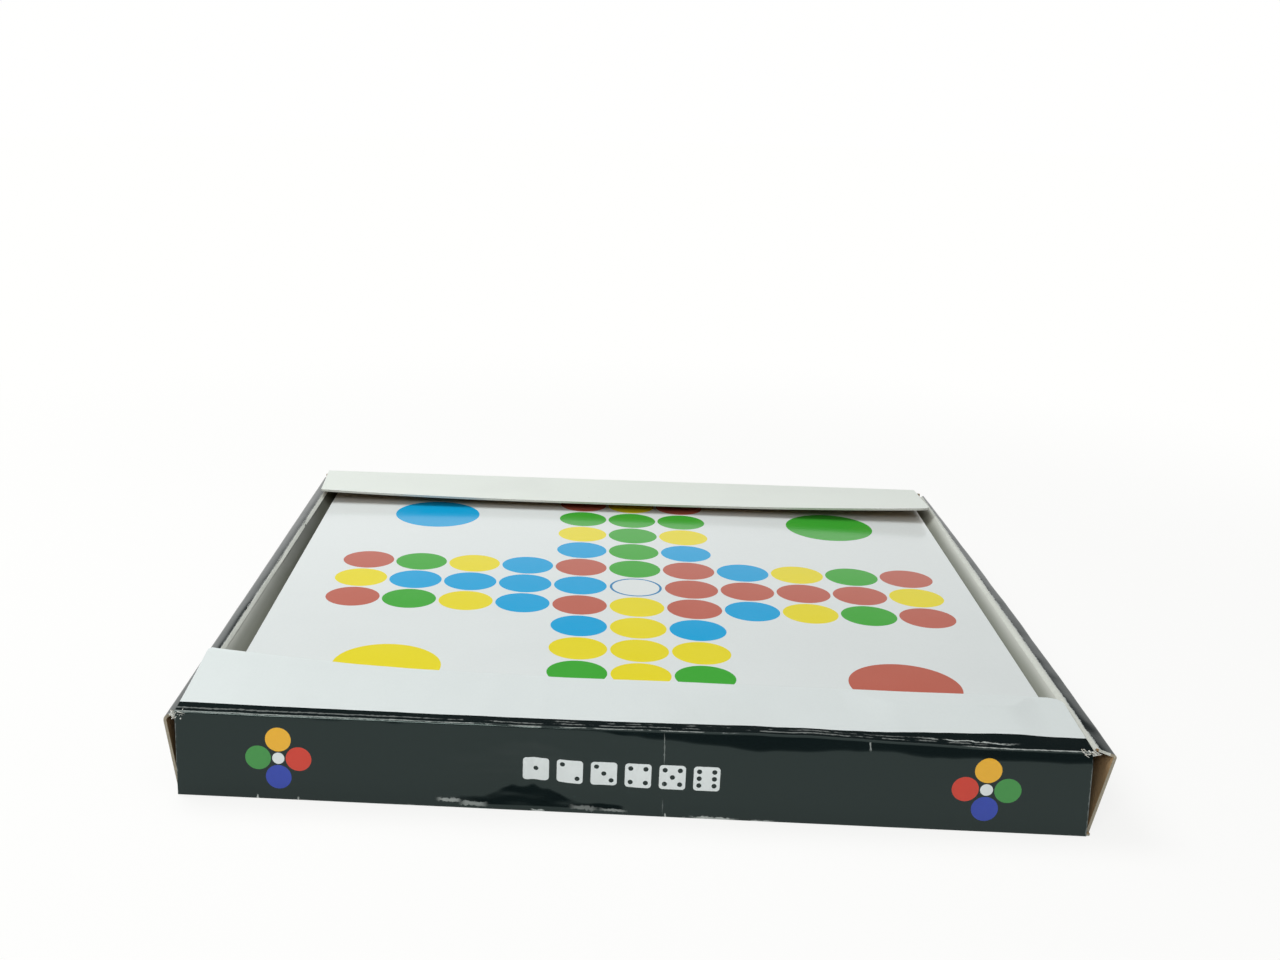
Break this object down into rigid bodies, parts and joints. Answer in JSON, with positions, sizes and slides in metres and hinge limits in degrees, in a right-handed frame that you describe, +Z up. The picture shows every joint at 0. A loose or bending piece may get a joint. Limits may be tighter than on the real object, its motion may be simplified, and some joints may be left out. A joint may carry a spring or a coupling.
{
  "type": "ludo board game",
  "caption": "Shallow folded carton whose front and rear flaps fold in over a flat ludo board, with turned pawns and a die loose in the well below it.",
  "frame": {"origin": "middle of the carton's underside, on the surface that it lies on", "axes": "+X to the right seen from the front wall, +Y from the front wall to the rear wall, +Z up"},
  "size_m": [0.287, 0.275, 0.0275],
  "materials": {
    "black_card": "gloss",
    "white_card": "satin",
    "printed_board": "satin",
    "red_pawn": "gloss",
    "yellow_pawn": "gloss",
    "green_pawn": "gloss",
    "blue_pawn": "gloss",
    "die_white": "gloss"
  },
  "bodies": {
    "carton": {"base_panel": "black_card", "front_wall": "black_card", "rear_wall": "black_card", "left_wall": "black_card", "right_wall": "black_card", "left_rim": "black_card", "right_rim": "black_card", "left_side_flap": "white_card", "right_side_flap": "white_card", "front_left_tab": "black_card", "front_right_tab": "black_card", "rear_left_tab": "black_card", "rear_right_tab": "black_card"},
    "front_flap": {"front_flap": "white_card"},
    "rear_flap": {"rear_flap": "white_card"},
    "board": {"game_board": "printed_board"},
    "red_pawn_1": {"red_pawn_1": "red_pawn"},
    "red_pawn_2": {"red_pawn_2": "red_pawn"},
    "red_pawn_3": {"red_pawn_3": "red_pawn"},
    "red_pawn_4": {"red_pawn_4": "red_pawn"},
    "yellow_pawn_1": {"yellow_pawn_1": "yellow_pawn"},
    "yellow_pawn_2": {"yellow_pawn_2": "yellow_pawn"},
    "yellow_pawn_3": {"yellow_pawn_3": "yellow_pawn"},
    "yellow_pawn_4": {"yellow_pawn_4": "yellow_pawn"},
    "green_pawn_1": {"green_pawn_1": "green_pawn"},
    "green_pawn_2": {"green_pawn_2": "green_pawn"},
    "green_pawn_3": {"green_pawn_3": "green_pawn"},
    "green_pawn_4": {"green_pawn_4": "green_pawn"},
    "blue_pawn_1": {"blue_pawn_1": "blue_pawn"},
    "blue_pawn_2": {"blue_pawn_2": "blue_pawn"},
    "blue_pawn_3": {"blue_pawn_3": "blue_pawn"},
    "blue_pawn_4": {"blue_pawn_4": "blue_pawn"},
    "die": {"die": "die_white"}
  },
  "joints": [
    {"name": "flap_front_fold", "type": "hinge", "parent": "carton", "child": "front_flap", "pos_m": [0, -0.1375, 0.0265], "axis": [1, 0, 0], "range_deg": [0, 180]},
    {"name": "flap_rear_fold", "type": "hinge", "parent": "carton", "child": "rear_flap", "pos_m": [0, 0.1375, 0.0265], "axis": [-1, 0, 0], "range_deg": [0, 180]},
    {"name": "board_lift", "type": "slide", "parent": "carton", "child": "board", "axis": [0, 0, 1], "range_m": [0, 0.0022]},
    {"name": "pawn_red_1_lift", "type": "slide", "parent": "carton", "child": "red_pawn_1", "axis": [0, 0, 1], "range_m": [0, 0.0072]},
    {"name": "pawn_red_2_lift", "type": "slide", "parent": "carton", "child": "red_pawn_2", "axis": [0, 0, 1], "range_m": [0, 0.0072]},
    {"name": "pawn_red_3_lift", "type": "slide", "parent": "carton", "child": "red_pawn_3", "axis": [0, 0, 1], "range_m": [0, 0.0072]},
    {"name": "pawn_red_4_lift", "type": "slide", "parent": "carton", "child": "red_pawn_4", "axis": [0, 0, 1], "range_m": [0, 0.0072]},
    {"name": "pawn_yellow_1_lift", "type": "slide", "parent": "carton", "child": "yellow_pawn_1", "axis": [0, 0, 1], "range_m": [0, 0.0072]},
    {"name": "pawn_yellow_2_lift", "type": "slide", "parent": "carton", "child": "yellow_pawn_2", "axis": [0, 0, 1], "range_m": [0, 0.0072]},
    {"name": "pawn_yellow_3_lift", "type": "slide", "parent": "carton", "child": "yellow_pawn_3", "axis": [0, 0, 1], "range_m": [0, 0.0072]},
    {"name": "pawn_yellow_4_lift", "type": "slide", "parent": "carton", "child": "yellow_pawn_4", "axis": [0, 0, 1], "range_m": [0, 0.0072]},
    {"name": "pawn_green_1_lift", "type": "slide", "parent": "carton", "child": "green_pawn_1", "axis": [0, 0, 1], "range_m": [0, 0.0072]},
    {"name": "pawn_green_2_lift", "type": "slide", "parent": "carton", "child": "green_pawn_2", "axis": [0, 0, 1], "range_m": [0, 0.0072]},
    {"name": "pawn_green_3_lift", "type": "slide", "parent": "carton", "child": "green_pawn_3", "axis": [0, 0, 1], "range_m": [0, 0.0072]},
    {"name": "pawn_green_4_lift", "type": "slide", "parent": "carton", "child": "green_pawn_4", "axis": [0, 0, 1], "range_m": [0, 0.0072]},
    {"name": "pawn_blue_1_lift", "type": "slide", "parent": "carton", "child": "blue_pawn_1", "axis": [0, 0, 1], "range_m": [0, 0.0072]},
    {"name": "pawn_blue_2_lift", "type": "slide", "parent": "carton", "child": "blue_pawn_2", "axis": [0, 0, 1], "range_m": [0, 0.0072]},
    {"name": "pawn_blue_3_lift", "type": "slide", "parent": "carton", "child": "blue_pawn_3", "axis": [0, 0, 1], "range_m": [0, 0.0072]},
    {"name": "pawn_blue_4_lift", "type": "slide", "parent": "carton", "child": "blue_pawn_4", "axis": [0, 0, 1], "range_m": [0, 0.0072]},
    {"name": "die_lift", "type": "slide", "parent": "carton", "child": "die", "axis": [0, 0, 1], "range_m": [0, 0.0064]}
  ]
}
